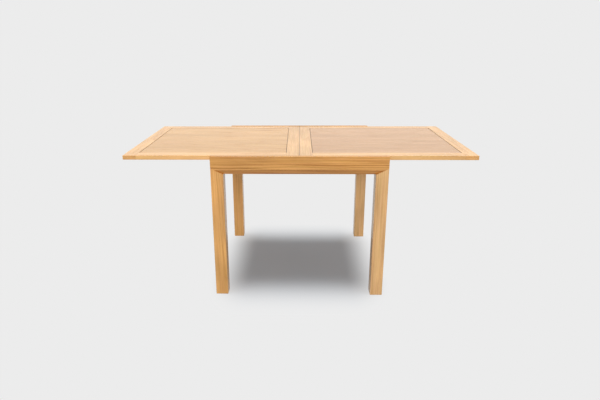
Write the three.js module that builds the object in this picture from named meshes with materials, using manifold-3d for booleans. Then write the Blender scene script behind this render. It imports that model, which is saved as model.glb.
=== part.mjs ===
// Fold-over extending dining table in solid oak.
//
// A square base of four legs and four aprons carries a top of two equal frame-and-panel leaves.
// They are shown end to end, with their seam over the middle of the base. To close the table, the
// folding leaf turns over onto the sliding leaf on two hinges, and the pair then slides half a leaf
// to the right, on runners whose tongues ride in grooved rails inside the long aprons.
//
// Millimetres, +Z up. The origin is on the floor under the middle of the base. +X runs along the
// leaves, towards the folding one, and -Y is the front.

import * as THREE from 'three';
import { mergeVertices } from 'three/addons/utils/BufferGeometryUtils.js';
import Module from 'manifold-3d';

const wasm = await Module();
wasm.setup();

// ---------------------------------------------------------------------------------------------
// Driving dimensions
// ---------------------------------------------------------------------------------------------

// Whole table
const baseLength = 900; // X, over the end aprons
const baseDepth = 900; // Y, over the front and rear aprons
const topHeight = 770; // floor to the show face of the leaves

// Fits
const jointGap = 0.2; // between pieces that are glued, screwed or seated on each other
const slideGap = 0.3; // under and beside what slides

// Legs
const legWidth = 65;
const legEase = 2; // radius worked on the long edges and the foot
const shoulderRise = 31.5; // of the slanted shoulders, from the aprons' lower edge to the corner
const postTopGap = 1; // the post behind the aprons stops this far under the leaves
const postFlat = 12; // flat on the post's inner corner, measured along its faces
const glideHeight = 2.5;
const glideRadius = 14;
const glidePinRadius = 2;
const glidePinLength = 14;

// Aprons
const apronThickness = 24;
const apronLip = 1.5; // the long aprons stand this far above the leaves
const apronDrop = 92.5; // show face of the leaves to the aprons' lower edge
const apronEase = 1;
const bevelEase = 0.5;
const bevelInset = 12; // bevel along the lower outer edge, measured inwards
const bevelRise = 23.5; // and upwards
const housingThickness = 8; // tongue of an end apron, housed in the long aprons
const housingLength = 8;
const housingShoulder = 4; // from the legs' shoulders up to the tongue
const feltThickness = 1.5;
const feltWidth = 16;
const feltEndGap = 4;

// Corner blocks and leg bolts
const blockThickness = 22;
const blockEase = 0.8;
const blockHeight = 34;
const blockDrop = 4; // below the slide rails
const blockPullGap = 1.5; // left between block and post, so that the bolt pulls the leg home
const boltRadius = 4;
const boltGrip = 30; // length in the post
const boltTail = 4; // beyond the nut
const boltHolePlay = 0.4;
const washerRadius = 9;
const washerThickness = 1.6;
const nutAcrossFlats = 13;
const nutThickness = 6.5;

// Slide rails on the base, runners under the sliding leaf
const slideRailWidth = 20;
const slideRailHeight = 26;
const slideGrooveDepth = 8;
const slideGrooveDrop = 13; // top of the rail to the middle of its groove
const tongueThickness = 8;
const tongueTipGap = 0.6;
const runnerWidth = 18;
const runnerHeight = 24;
const runnerStopGap = 0.4; // between a runner's end and the post that stops it
const runnerEase = 1;

// Wood screws in the slide rails and the runners
const screwsPerBar = 3;
const screwEndInset = 40;
const screwRadius = 2;
const screwHeadRadius = 4;
const screwHeadHeight = 2.6;
const screwBite = 13; // length held by the piece behind
const screwPlay = 0.2;
const runnerCounterbore = 7;

// Leaves
const leafLength = 898;
const leafThickness = 22;
const leafSideGap = 0.5; // to the long aprons
const leafEase = 1.5; // radius on the edges of a leaf
const leafCornerEase = 2; // and on its corners, seen from above
const seamGap = 0.3; // between the leaves, side by side or folded one onto the other
const seamEase = 0.4; // chamfer on the show edges at the seam
const stileWidth = 66;
const leafRailWidth = 68;
const tenonLength = 30;
const tenonShoulder = 12; // from the outer edge of the rail to its tenon
const mortiseSlack = 1; // left at the bottom of a mortise
const panelTongue = 8; // thickness of the panel's tongue and of the tenons
const panelTongueReach = 9; // how far it enters the frame
const panelGrooveSlack = 1; // left at the bottom of the groove
const panelEndShadow = 2.5; // open line between the panel and the stiles
const panelSideShadow = 1; // open line between the panel and the rails
const panelSink = 0.4; // the panel's faces lie this far below the frame's
const panelEase = 0.6;

// Hinges, let into the front and rear ends of the seam. Their pins lie level with the show faces.
const eyeRadius = 1.6;
const pinRadius = 0.75;
const pinPlay = 0.07;
const pinHeadRadius = 1.25;
const pinHeadHeight = 0.4;
const cheekThickness = 1.6; // the two eyes of the sliding strap
const tongueEyeThickness = 2.6; // and the one of the folding strap, between them
const eyePlay = 0.15;
const strapLength = 46; // seam to the far end of a strap
const strapBlockLength = 9; // the part that is as thick as all the eyes together
const strapHeight = 10;
const strapThickness = 2.4;
const strapEase = 2.5;
const strapRim = 0.3; // the straps stay this far below the show face
const strapPocketGap = 0.2;
const strapScrewRadius = 1.4;
const strapScrewLength = 16;
const strapScrewInset = 6; // from the far end of a strap
const strapScrewPitch = 11;
const strapScrewCount = 3;
const driverSlotWidth = 0.7;
const driverSlotDepth = 0.5;
const driverSlotLength = 5;

// Facets of round pieces
const roundFacets = 24;
const screwFacets = 12;
const easeFacets = 2;

// How far a cutter runs on past what it cuts
const cutterReach = 2;

// ---------------------------------------------------------------------------------------------
// Places worked out from them
// ---------------------------------------------------------------------------------------------

const outerX = baseLength / 2;
const outerY = baseDepth / 2;
const innerX = outerX - apronThickness; // inner faces of the end aprons
const innerY = outerY - apronThickness; // inner faces of the long aprons
const legInnerX = outerX - legWidth;
const legInnerY = outerY - legWidth;

const leafUnderZ = topHeight - leafThickness;
const apronTopZ = topHeight + apronLip;
const apronBottomZ = topHeight - apronDrop;
const bevelTopZ = apronBottomZ + bevelRise;
const shoulderTopZ = apronBottomZ + shoulderRise;
const postTopZ = leafUnderZ - postTopGap;
const feltTopZ = leafUnderZ - slideGap;
const endApronTopZ = feltTopZ - feltThickness - jointGap;

const slideRailTopZ = leafUnderZ - slideGap;
const slideRailBottomZ = slideRailTopZ - slideRailHeight;
const slideGrooveZ = slideRailTopZ - slideGrooveDrop;
const slideRailFaceY = innerY - jointGap - slideRailWidth;
const slideGrooveBottomY = slideRailFaceY + slideGrooveDepth;
const slideRailEndX = legInnerX - jointGap;
const runnerFaceY = slideRailFaceY - slideGap;
const runnerTopZ = leafUnderZ - jointGap;
const runnerBottomZ = runnerTopZ - runnerHeight;

const seamHalf = seamGap / 2;
const travel = seamHalf + leafLength / 2; // closed, the pair of leaves is centred on the base
const runnerEndX = legInnerX - runnerStopGap;
const runnerLength = 2 * runnerEndX - travel;

const leafHalfDepth = innerY - leafSideGap;
const leafMiddleZ = topHeight - leafThickness / 2;
const panelGrooveDepth = panelTongueReach + panelGrooveSlack;

const pinZ = topHeight + seamHalf; // folded over, the leaf lies the seam gap above the other
const strapTopZ = topHeight - strapRim;
const strapBottomZ = strapTopZ - strapHeight;
const strapScrewZ = (strapTopZ + strapBottomZ) / 2;
const strapBlockThickness = 2 * (cheekThickness + eyePlay) + tongueEyeThickness;

const blockTopZ = slideRailBottomZ - blockDrop;
const blockBottomZ = blockTopZ - blockHeight;
const postFlatSum = 2 * (legWidth - apronThickness) - postFlat;
const blockInnerSum = postFlatSum + blockPullGap * Math.SQRT2;
const blockOuterSum = blockInnerSum + blockThickness * Math.SQRT2;

// ---------------------------------------------------------------------------------------------
// Materials
// ---------------------------------------------------------------------------------------------

function finish(color, roughness, metalness = 0) {
  return new THREE.MeshStandardMaterial({ color, roughness, metalness });
}

const topOak = finish('#f4d7ae', 0.55);
const panelOak = finish('#e8c9a0', 0.55);
const apronOak = finish('#d09a5c', 0.55);
const legOak = finish('#d6a467', 0.55);
const innerBeech = finish('#cfa878', 0.7);
const brass = finish('#c9a961', 0.3, 1);
const zincSteel = finish('#b9bbbd', 0.4, 1);
const brownFelt = finish('#6b5540', 0.95);
const glideNylon = finish('#3a2f27', 0.5);

// ---------------------------------------------------------------------------------------------
// Shape tools
// ---------------------------------------------------------------------------------------------

const X = new THREE.Vector3(1, 0, 0);
const Y = new THREE.Vector3(0, 1, 0);
const Z = new THREE.Vector3(0, 0, 1);

// A closed geometry as a solid that can be joined and cut.
function solidOf(geometry) {
  geometry.deleteAttribute('normal');
  geometry.deleteAttribute('uv');
  const merged = mergeVertices(geometry, 1e-4);
  const corners = merged.index.array;
  const kept = [];
  for (let i = 0; i < corners.length; i += 3) {
    const [a, b, c] = corners.slice(i, i + 3);
    if (a !== b && b !== c && c !== a) kept.push(a, b, c);
  }
  const mesh = new wasm.Mesh({
    numProp: 3,
    vertProperties: new Float32Array(merged.attributes.position.array),
    triVerts: new Uint32Array(kept),
  });
  return new wasm.Manifold(mesh);
}

function join(first, ...others) {
  return others.reduce((whole, piece) => whole.add(piece), first);
}

function cut(first, ...others) {
  return others.reduce((whole, piece) => whole.subtract(piece), first);
}

// A square-edged block between two values on each axis, given in either order.
function block(x0, x1, y0, y1, z0, z1) {
  const box = new THREE.BoxGeometry(Math.abs(x1 - x0), Math.abs(y1 - y0), Math.abs(z1 - z0));
  return solidOf(box.translate((x0 + x1) / 2, (y0 + y1) / 2, (z0 + z1) / 2));
}

// A closed outline whose corners are eased. A point is [across, up] or [across, up, ease].
function easedOutline(points, ease) {
  const shape = new THREE.Shape();
  points.forEach(([x, y, ownEase], i) => {
    const corner = new THREE.Vector2(x, y);
    const before = new THREE.Vector2(...points.at(i - 1).slice(0, 2));
    const after = new THREE.Vector2(...points[(i + 1) % points.length].slice(0, 2));
    const reach = ownEase ?? ease;
    const start = before.sub(corner).setLength(reach).add(corner);
    const end = after.sub(corner).setLength(reach).add(corner);
    if (i === 0) shape.moveTo(start.x, start.y);
    else shape.lineTo(start.x, start.y);
    if (reach > 0) shape.quadraticCurveTo(corner.x, corner.y, end.x, end.y);
  });
  return shape;
}

// An outline extruded along one axis. It is drawn on the next two axes in the order X, Y, Z, X, Y:
// along X it is (y, z), along Y it is (z, x) and along Z it is (x, y).
function prism(axis, shape, from, to, endEase = 0) {
  const low = Math.min(from, to);
  const length = Math.abs(to - from);
  const geometry = new THREE.ExtrudeGeometry(shape, {
    depth: length - 2 * endEase,
    curveSegments: easeFacets,
    bevelEnabled: endEase > 0,
    bevelThickness: endEase,
    bevelSize: endEase,
    bevelOffset: -endEase,
    bevelSegments: easeFacets,
  });
  geometry.translate(0, 0, low + endEase);
  const frames = { X: [Y, Z, X], Y: [Z, X, Y], Z: [X, Y, Z] };
  geometry.applyMatrix4(new THREE.Matrix4().makeBasis(...frames[axis]));
  return solidOf(geometry);
}

function rectangle(a0, a1, b0, b1) {
  return [
    [a0, b0],
    [a1, b0],
    [a1, b1],
    [a0, b1],
  ];
}

// A profile of [radius, distance] pairs turned about an axis, from the far side to the near one.
function turned(profile, origin, direction, facets = roundFacets) {
  const points = profile.map(([radius, along]) => new THREE.Vector2(radius, along));
  const geometry = new THREE.LatheGeometry(points, facets);
  const turn = new THREE.Quaternion().setFromUnitVectors(Y, direction);
  const matrix = new THREE.Matrix4().compose(origin, turn, new THREE.Vector3(1, 1, 1));
  return solidOf(geometry.applyMatrix4(matrix));
}

function rod(radius, from, to, origin, direction, facets = roundFacets) {
  const profile = [
    [0, from],
    [radius, from],
    [radius, to],
    [0, to],
  ];
  return turned(profile, origin, direction, facets);
}

// A solid back as a named mesh.
function meshOf(name, solid, material) {
  const { vertProperties, triVerts } = solid.getMesh();
  const geometry = new THREE.BufferGeometry();
  geometry.setAttribute('position', new THREE.BufferAttribute(new Float32Array(vertProperties), 3));
  geometry.setIndex(new THREE.BufferAttribute(new Uint32Array(triVerts), 1));
  geometry.computeVertexNormals();
  const mesh = new THREE.Mesh(geometry, material);
  mesh.name = name;
  return mesh;
}

const sides = [
  { name: 'left', sign: -1 },
  { name: 'right', sign: 1 },
];
const ends = [
  { name: 'front', sign: -1 },
  { name: 'rear', sign: 1 },
];

// ---------------------------------------------------------------------------------------------
// Wood screws: a countersunk head at 0, the point beyond
// ---------------------------------------------------------------------------------------------

function screwProfile(length, play) {
  const shank = screwRadius + play;
  const head = screwHeadRadius + play;
  const tip = 3;
  return [
    [0, 0],
    [head, 0],
    [shank, screwHeadHeight],
    [shank, length - tip],
    [0, length + play],
  ];
}

function woodScrew(length, origin, direction) {
  return turned(screwProfile(length, 0), origin, direction, screwFacets);
}

function screwHole(length, origin, direction) {
  return turned(screwProfile(length, screwPlay), origin, direction, screwFacets);
}

function screwStations(from, to) {
  const span = to - from - 2 * screwEndInset;
  return Array.from(
    { length: screwsPerBar },
    (_, i) => from + screwEndInset + (span * i) / (screwsPerBar - 1),
  );
}

// ---------------------------------------------------------------------------------------------
// Aprons
// ---------------------------------------------------------------------------------------------

// Section of an apron as [distance inwards from its outer face, height].
function apronSection(top) {
  return [
    [0, bevelTopZ, bevelEase],
    [0, top],
    [apronThickness, top],
    [apronThickness, apronBottomZ],
    [bevelInset, apronBottomZ, bevelEase],
  ];
}

function longApronOutline(section, end, ease) {
  return easedOutline(
    section.map(([inwards, z, own]) => [end * (outerY - inwards), z, own]),
    ease,
  );
}

function endApronOutline(section, side, ease) {
  return easedOutline(
    section.map(([inwards, z, own]) => [z, side * (outerX - inwards), own]),
    ease,
  );
}

// The slant of a leg's shoulder as [height, distance from the middle], seen square to the long
// aprons or to the end ones. It rises from the leg's inner edge to the outer corner of the base.
function slant(inner, outer, drop) {
  return [
    [apronBottomZ - drop, inner],
    [shoulderTopZ - drop, outer],
  ];
}

// The lower corner that two aprons leave to the shoulders of their leg.
function shoulderRoom(side, end) {
  const below = apronBottomZ - cutterReach;
  const beyondX = outerX + cutterReach;
  const beyondY = outerY + cutterReach;
  const underLong = [
    ...slant(side * legInnerX, side * outerX, 0),
    [shoulderTopZ, side * beyondX],
    [below, side * beyondX],
    [below, side * legInnerX],
  ];
  const underEnd = [
    ...slant(end * legInnerY, end * outerY, 0),
    [shoulderTopZ, end * beyondY],
    [below, end * beyondY],
    [below, end * legInnerY],
  ].map(([z, y]) => [y, z]);
  return prism('Y', easedOutline(underLong, 0), -beyondY, beyondY).intersect(
    prism('X', easedOutline(underEnd, 0), -beyondX, beyondX),
  );
}

// Tongue of an end apron, or with some play the housing that takes it.
function housedTongue(side, end, play) {
  const middle = side * (outerX - apronThickness / 2);
  const half = housingThickness / 2 + play;
  return block(
    middle - half,
    middle + half,
    end * (innerY - cutterReach),
    end * (innerY + housingLength + play),
    shoulderTopZ + housingShoulder - play,
    endApronTopZ + play,
  );
}

function longApron(end) {
  const board = prism(
    'X',
    longApronOutline(apronSection(apronTopZ), end, apronEase),
    -outerX,
    outerX,
    apronEase,
  );
  return cut(
    board,
    ...sides.map((side) => shoulderRoom(side.sign, end)),
    ...sides.map((side) => housedTongue(side.sign, end, jointGap)),
    ...slideRailScrewPlaces(end).map((place) => screwHole(slideRailScrewLength, ...place)),
  );
}

function endApron(side) {
  const reach = innerY - jointGap;
  const outline = endApronOutline(apronSection(endApronTopZ), side, apronEase);
  const board = prism('Y', outline, -reach, reach);
  return join(
    cut(board, ...ends.map((end) => shoulderRoom(side, end.sign))),
    ...ends.map((end) => housedTongue(side, end.sign, 0)),
  );
}

function feltStrip(side) {
  const middle = side * (outerX - apronThickness / 2);
  const reach = innerY - feltEndGap;
  return block(
    middle - feltWidth / 2,
    middle + feltWidth / 2,
    -reach,
    reach,
    feltTopZ - feltThickness,
    feltTopZ,
  );
}

// ---------------------------------------------------------------------------------------------
// Legs, their glides, corner blocks and bolts
// ---------------------------------------------------------------------------------------------

// Under the aprons the leg has slanted shoulders, which rise from the inner edge of each face to the
// outer corner, past the bevel. Behind the aprons it goes on as a post.
function leg(side, end) {
  const above = topHeight;
  const beyondX = outerX + cutterReach;
  const beyondY = outerY + cutterReach;
  const insideX = legInnerX - cutterReach;
  const insideY = legInnerY - cutterReach;
  const body = prism(
    'Z',
    easedOutline(
      rectangle(side * outerX, side * legInnerX, end * outerY, end * legInnerY),
      legEase,
    ),
    glideHeight,
    postTopZ,
    legEase,
  );
  const overLong = [
    ...slant(side * legInnerX, side * outerX, jointGap),
    [shoulderTopZ - jointGap, side * beyondX],
    [above, side * beyondX],
    [above, side * insideX],
    [apronBottomZ - jointGap, side * insideX],
  ];
  const overEnd = [
    ...slant(end * legInnerY, end * outerY, jointGap),
    [shoulderTopZ - jointGap, end * beyondY],
    [above, end * beyondY],
    [above, end * insideY],
    [apronBottomZ - jointGap, end * insideY],
  ].map(([z, y]) => [y, z]);
  const flatReach = postFlat * 2;
  const cornerX = side * legInnerX;
  const cornerY = end * legInnerY;
  const postFlatOff = easedOutline(
    [
      [cornerX + side * postFlat, cornerY],
      [cornerX, cornerY + end * postFlat],
      [cornerX - side * flatReach, cornerY + end * postFlat],
      [cornerX - side * flatReach, cornerY - end * flatReach],
      [cornerX + side * postFlat, cornerY - end * flatReach],
    ],
    0,
  );
  return cut(
    body,
    prism('Y', easedOutline(overLong, 0), end * (innerY - jointGap), end * beyondY),
    prism('X', easedOutline(overEnd, 0), side * (innerX - jointGap), side * beyondX),
    prism('Z', postFlatOff, apronBottomZ, above),
    rod(boltRadius + boltHolePlay, boltStart - 1, boltSeat, ...boltAxis(side, end)),
    rod(
      glidePinRadius + jointGap,
      0,
      glideHeight + glidePinLength + 1,
      glideCentre(side, end),
      Z,
      screwFacets,
    ),
  );
}

function glideCentre(side, end) {
  return new THREE.Vector3(side * (outerX - legWidth / 2), end * (outerY - legWidth / 2), 0);
}

function footGlide(side, end) {
  const seat = glideHeight - jointGap;
  const profile = [
    [0, 0],
    [glideRadius - 1, 0],
    [glideRadius, 1],
    [glideRadius, seat],
    [glidePinRadius, seat],
    [glidePinRadius, glideHeight + glidePinLength - 2],
    [0, glideHeight + glidePinLength],
  ];
  return turned(profile, glideCentre(side, end), Z);
}

// The bolt runs along the diagonal of the corner, from the post through the block. Distances along
// it are counted from where the inner faces of the two aprons would meet.
const boltStart = postFlatSum / Math.SQRT2 - boltGrip;
const boltSeat = blockOuterSum / Math.SQRT2;

function boltAxis(side, end) {
  const z = (blockTopZ + blockBottomZ) / 2;
  const corner = new THREE.Vector3(side * innerX, end * innerY, z);
  return [corner, new THREE.Vector3(-side, -end, 0).normalize()];
}

function legBolt(side, end) {
  const [corner, inwards] = boltAxis(side, end);
  const washerFace = boltSeat + jointGap;
  const nutFace = washerFace + washerThickness;
  const nut = rod(
    nutAcrossFlats / Math.sqrt(3),
    nutFace - 0.1,
    nutFace + nutThickness,
    corner,
    inwards,
    6,
  );
  const profile = [
    [0, boltStart],
    [boltRadius - 1, boltStart],
    [boltRadius, boltStart + 1],
    [boltRadius, washerFace],
    [washerRadius, washerFace],
    [washerRadius, nutFace],
    [boltRadius, nutFace],
    [boltRadius, nutFace + nutThickness + boltTail - 1],
    [boltRadius - 1, nutFace + nutThickness + boltTail],
    [0, nutFace + nutThickness + boltTail],
  ];
  return join(turned(profile, corner, inwards), nut);
}

function cornerBlock(side, end) {
  const at = (fromEndApron, fromLongApron) => [
    side * (innerX - fromEndApron),
    end * (innerY - fromLongApron),
  ];
  const outline = easedOutline(
    [
      at(jointGap, blockInnerSum - jointGap),
      at(blockInnerSum - jointGap, jointGap),
      at(blockOuterSum - jointGap, jointGap),
      at(jointGap, blockOuterSum - jointGap),
    ],
    blockEase,
  );
  return cut(
    prism('Z', outline, blockBottomZ, blockTopZ),
    rod(boltRadius + boltHolePlay, boltStart, boltSeat + cutterReach, ...boltAxis(side, end)),
  );
}

// ---------------------------------------------------------------------------------------------
// Slide rails and runners
// ---------------------------------------------------------------------------------------------

const slideRailScrewLength = slideRailWidth - slideGrooveDepth + screwBite;

// Through the bottom of the groove into the long apron.
function slideRailScrewPlaces(end) {
  const outwards = new THREE.Vector3(0, end, 0);
  return screwStations(-slideRailEndX, slideRailEndX).map((x) => [
    new THREE.Vector3(x, end * (slideGrooveBottomY + jointGap), slideGrooveZ),
    outwards,
  ]);
}

function slideRail(end) {
  const outline = easedOutline(
    rectangle(
      end * slideRailFaceY,
      end * (innerY - jointGap),
      slideRailBottomZ,
      slideRailTopZ,
    ),
    runnerEase,
  );
  const grooveHalf = tongueThickness / 2 + slideGap;
  const groove = block(
    -outerX,
    outerX,
    end * (slideRailFaceY - cutterReach),
    end * slideGrooveBottomY,
    slideGrooveZ - grooveHalf,
    slideGrooveZ + grooveHalf,
  );
  return cut(
    prism('X', outline, -slideRailEndX, slideRailEndX),
    groove,
    ...slideRailScrewPlaces(end).map(([origin, outwards]) =>
      screwHole(slideRailScrewLength, origin.addScaledVector(outwards, -jointGap), outwards),
    ),
  );
}

const runnerScrewLength = runnerHeight - runnerCounterbore + screwBite;

// Up through a counterbore in the runner into the rail of the leaf.
function runnerScrewPlaces(end) {
  const y = end * (runnerFaceY - runnerWidth / 2);
  return screwStations(-runnerEndX, runnerLength - runnerEndX).map((x) => [
    new THREE.Vector3(x, y, runnerBottomZ + runnerCounterbore),
    Z,
  ]);
}

// The holes that the runners' screws make in the frame of the sliding leaf.
function runnerScrewHoles(side) {
  if (side > 0) return [];
  return ends.flatMap((end) =>
    runnerScrewPlaces(end.sign).map((place) => screwHole(runnerScrewLength, ...place)),
  );
}

function runner(end) {
  const tip = slideGrooveBottomY - tongueTipGap;
  const inner = runnerFaceY - runnerWidth;
  const low = slideGrooveZ - tongueThickness / 2;
  const high = slideGrooveZ + tongueThickness / 2;
  const outline = easedOutline(
    [
      [end * inner, runnerBottomZ],
      [end * runnerFaceY, runnerBottomZ],
      [end * runnerFaceY, low, 0],
      [end * tip, low],
      [end * tip, high],
      [end * runnerFaceY, high, 0],
      [end * runnerFaceY, runnerTopZ, 0],
      [end * inner, runnerTopZ, 0],
    ],
    runnerEase,
  );
  const counterbore = screwHeadRadius + 2 * screwPlay;
  return cut(
    prism('X', outline, -runnerEndX, runnerLength - runnerEndX),
    ...runnerScrewPlaces(end).map((place) => screwHole(runnerScrewLength, ...place)),
    ...runnerScrewPlaces(end).map((place) =>
      rod(counterbore, -runnerCounterbore - cutterReach, 0, ...place, screwFacets),
    ),
  );
}

// ---------------------------------------------------------------------------------------------
// Hinges
// ---------------------------------------------------------------------------------------------

// Distances from the seam are multiplied by side, and depths are counted inwards from the front or
// rear edge of the leaf.

function hingeY(end, depth) {
  return end * (leafHalfDepth - depth);
}

const strapFace = strapPocketGap; // depth of a strap's outer face
const strapBlockBack = strapFace + strapBlockThickness;
const tongueEyeFace = strapFace + cheekThickness + eyePlay;
const tongueEyeBack = tongueEyeFace + tongueEyeThickness;

function pinAxis(end) {
  return [new THREE.Vector3(0, end * leafHalfDepth, pinZ), new THREE.Vector3(0, -end, 0)];
}

// Rivet through the three eyes, countersunk at both ends.
function hingePin(end, play) {
  const neck = pinRadius + play;
  const head = pinHeadRadius + play;
  const profile = [
    [0, strapFace],
    [head, strapFace],
    [neck, strapFace + pinHeadHeight],
    [neck, strapBlockBack - pinHeadHeight],
    [head, strapBlockBack],
    [0, strapBlockBack],
  ];
  return turned(profile, ...pinAxis(end));
}

function strapScrewPlaces(side, end) {
  const farthest = strapLength - strapScrewInset;
  return Array.from({ length: strapScrewCount }, (_, i) => [
    new THREE.Vector3(side * (farthest - i * strapScrewPitch), end * leafHalfDepth, strapScrewZ),
    new THREE.Vector3(0, -end, 0),
  ]);
}

// Room for the eyes of the other strap, between two depths.
function eyeRoom(side, end, faceDepth, backDepth) {
  return block(
    -side * (eyeRadius + cutterReach),
    side * (eyeRadius + eyePlay),
    hingeY(end, faceDepth),
    hingeY(end, backDepth),
    strapBottomZ - cutterReach,
    pinZ + eyeRadius + cutterReach,
  );
}

// A strap with its eyes and its three screws, whose slotted heads lie flush in it. The sliding
// leaf's straps have the outer eyes, and the folding leaf's the middle one.
function hingeStrap(side, end) {
  const face = hingeY(end, strapFace);
  const plate = (length, ease, thickness) => {
    const outline = rectangle(strapBottomZ, strapTopZ, side * seamHalf, side * length);
    return prism('Y', easedOutline(outline, ease), face, hingeY(end, strapFace + thickness));
  };
  const squareEnd = block(
    side * seamHalf,
    side * strapBlockLength,
    face,
    hingeY(end, strapBlockBack),
    strapBottomZ,
    strapTopZ,
  );
  const eyes = rod(eyeRadius, strapFace, strapBlockBack, ...pinAxis(end));
  const rooms =
    side < 0
      ? [eyeRoom(side, end, tongueEyeFace - eyePlay, tongueEyeBack + eyePlay)]
      : [
          eyeRoom(side, end, strapFace - cutterReach, tongueEyeFace),
          eyeRoom(side, end, tongueEyeBack, strapBlockBack + cutterReach),
        ];
  const places = strapScrewPlaces(side, end);
  const screws = places.map((place) =>
    rod(strapScrewRadius, strapFace + 1, strapFace + strapScrewLength, ...place, screwFacets),
  );
  const slots = places.map(([{ x }]) =>
    block(
      x - driverSlotWidth / 2,
      x + driverSlotWidth / 2,
      hingeY(end, strapFace - cutterReach),
      hingeY(end, strapFace + driverSlotDepth),
      strapScrewZ - driverSlotLength / 2,
      strapScrewZ + driverSlotLength / 2,
    ),
  );
  const body = join(plate(strapLength, strapEase, strapThickness), squareEnd, eyes);
  const metal = cut(body, ...rooms, hingePin(end, pinPlay));
  return cut(join(metal, ...screws), ...slots);
}

// What is cut from a stile to let a strap in: a shallow bed, a deep one for the eyes, and the
// pilot holes. The beds are open at the show face.
function hingePocket(side, end) {
  const bed = (length, depth) =>
    block(
      -side * cutterReach,
      side * (length + strapPocketGap),
      hingeY(end, -cutterReach),
      hingeY(end, depth + strapPocketGap),
      strapBottomZ - strapPocketGap,
      topHeight + cutterReach,
    );
  const pilots = strapScrewPlaces(side, end).map((place) =>
    rod(
      strapScrewRadius + screwPlay,
      strapFace,
      strapFace + strapScrewLength + 1,
      ...place,
      screwFacets,
    ),
  );
  return join(
    bed(strapLength, strapFace + strapThickness),
    bed(strapBlockLength, strapBlockBack),
    ...pilots,
  );
}

// ---------------------------------------------------------------------------------------------
// Leaves
// ---------------------------------------------------------------------------------------------

// Distances along a leaf are counted from the seam, and multiplied by side.

const innerStileEdge = seamHalf + stileWidth;
const outerStileEdge = seamHalf + leafLength - stileWidth;
const railInnerY = leafHalfDepth - leafRailWidth;

// What is taken off the show edge at the seam.
function seamEdgeWaste(side) {
  const edge = side * seamHalf;
  const waste = new THREE.Shape();
  waste.moveTo(topHeight - seamEase, edge - side * cutterReach);
  waste.lineTo(topHeight - seamEase, edge);
  waste.lineTo(topHeight, edge + side * seamEase);
  waste.lineTo(topHeight + cutterReach, edge + side * seamEase);
  waste.lineTo(topHeight + cutterReach, edge - side * cutterReach);
  return prism('Y', waste, -outerY, outerY);
}

// The outer form of a leaf, run on past the seam, where its edges are left crisp. The others are
// rounded over as one, so they run on across the joints.
function leafBlank(side) {
  const outline = easedOutline(
    rectangle(
      -side * 2 * leafCornerEase,
      side * (seamHalf + leafLength),
      -leafHalfDepth,
      leafHalfDepth,
    ),
    leafCornerEase,
  );
  return cut(prism('Z', outline, leafUnderZ, topHeight, leafEase), seamEdgeWaste(side));
}

function slab(side, from, to, y0, y1, thickness) {
  return block(
    side * from,
    side * to,
    y0,
    y1,
    leafMiddleZ - thickness / 2,
    leafMiddleZ + thickness / 2,
  );
}

// Tenon of a rail at the inner or outer stile, or with some play its mortise.
function tenon(side, end, atInner, play) {
  const shoulder = atInner ? innerStileEdge : outerStileEdge;
  const outwards = atInner ? -1 : 1;
  const length = tenonLength + (play > 0 ? mortiseSlack : 0);
  return slab(
    side,
    shoulder - outwards * (jointGap + cutterReach),
    shoulder + outwards * length,
    end * (railInnerY + panelGrooveDepth - play),
    end * (leafHalfDepth - tenonShoulder + play),
    panelTongue + 2 * play,
  );
}

function stile(side, atInner) {
  const from = atInner ? seamHalf : outerStileEdge;
  const edge = atInner ? innerStileEdge : outerStileEdge;
  const outwards = atInner ? -1 : 1;
  const region = slab(side, from, from + stileWidth, -outerY, outerY, 2 * leafThickness);
  const groove = slab(
    side,
    edge - outwards * cutterReach,
    edge + outwards * panelGrooveDepth,
    -railInnerY - panelGrooveDepth,
    railInnerY + panelGrooveDepth,
    panelTongue + 2 * jointGap,
  );
  const mortises = ends.map((end) => tenon(side, end.sign, atInner, jointGap));
  const pockets = atInner ? ends.map((end) => hingePocket(side, end.sign)) : [];
  const board = cut(leafBlank(side).intersect(region), groove, ...mortises, ...pockets);
  return cut(board, ...runnerScrewHoles(side));
}

function leafRail(side, end) {
  const region = slab(
    side,
    innerStileEdge + jointGap,
    outerStileEdge - jointGap,
    end * railInnerY,
    end * outerY,
    2 * leafThickness,
  );
  const groove = slab(
    side,
    0,
    seamHalf + leafLength,
    end * (railInnerY - cutterReach),
    end * (railInnerY + panelGrooveDepth),
    panelTongue + 2 * jointGap,
  );
  const board = cut(leafBlank(side).intersect(region), groove);
  const jointed = join(board, tenon(side, end, true, 0), tenon(side, end, false, 0));
  return cut(jointed, ...runnerScrewHoles(side));
}

function panel(side) {
  const fieldOutline = easedOutline(
    rectangle(
      side * (innerStileEdge + panelEndShadow),
      side * (outerStileEdge - panelEndShadow),
      -railInnerY + panelSideShadow,
      railInnerY - panelSideShadow,
    ),
    panelEase,
  );
  const field = prism(
    'Z',
    fieldOutline,
    leafUnderZ + panelSink,
    topHeight - panelSink,
    panelEase,
  );
  const tongue = slab(
    side,
    innerStileEdge - panelTongueReach,
    outerStileEdge + panelTongueReach,
    -railInnerY - panelTongueReach,
    railInnerY + panelTongueReach,
    panelTongue,
  );
  return join(field, tongue);
}

// ---------------------------------------------------------------------------------------------
// Assembly: one group for each set of pieces that moves as one
// ---------------------------------------------------------------------------------------------

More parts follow.
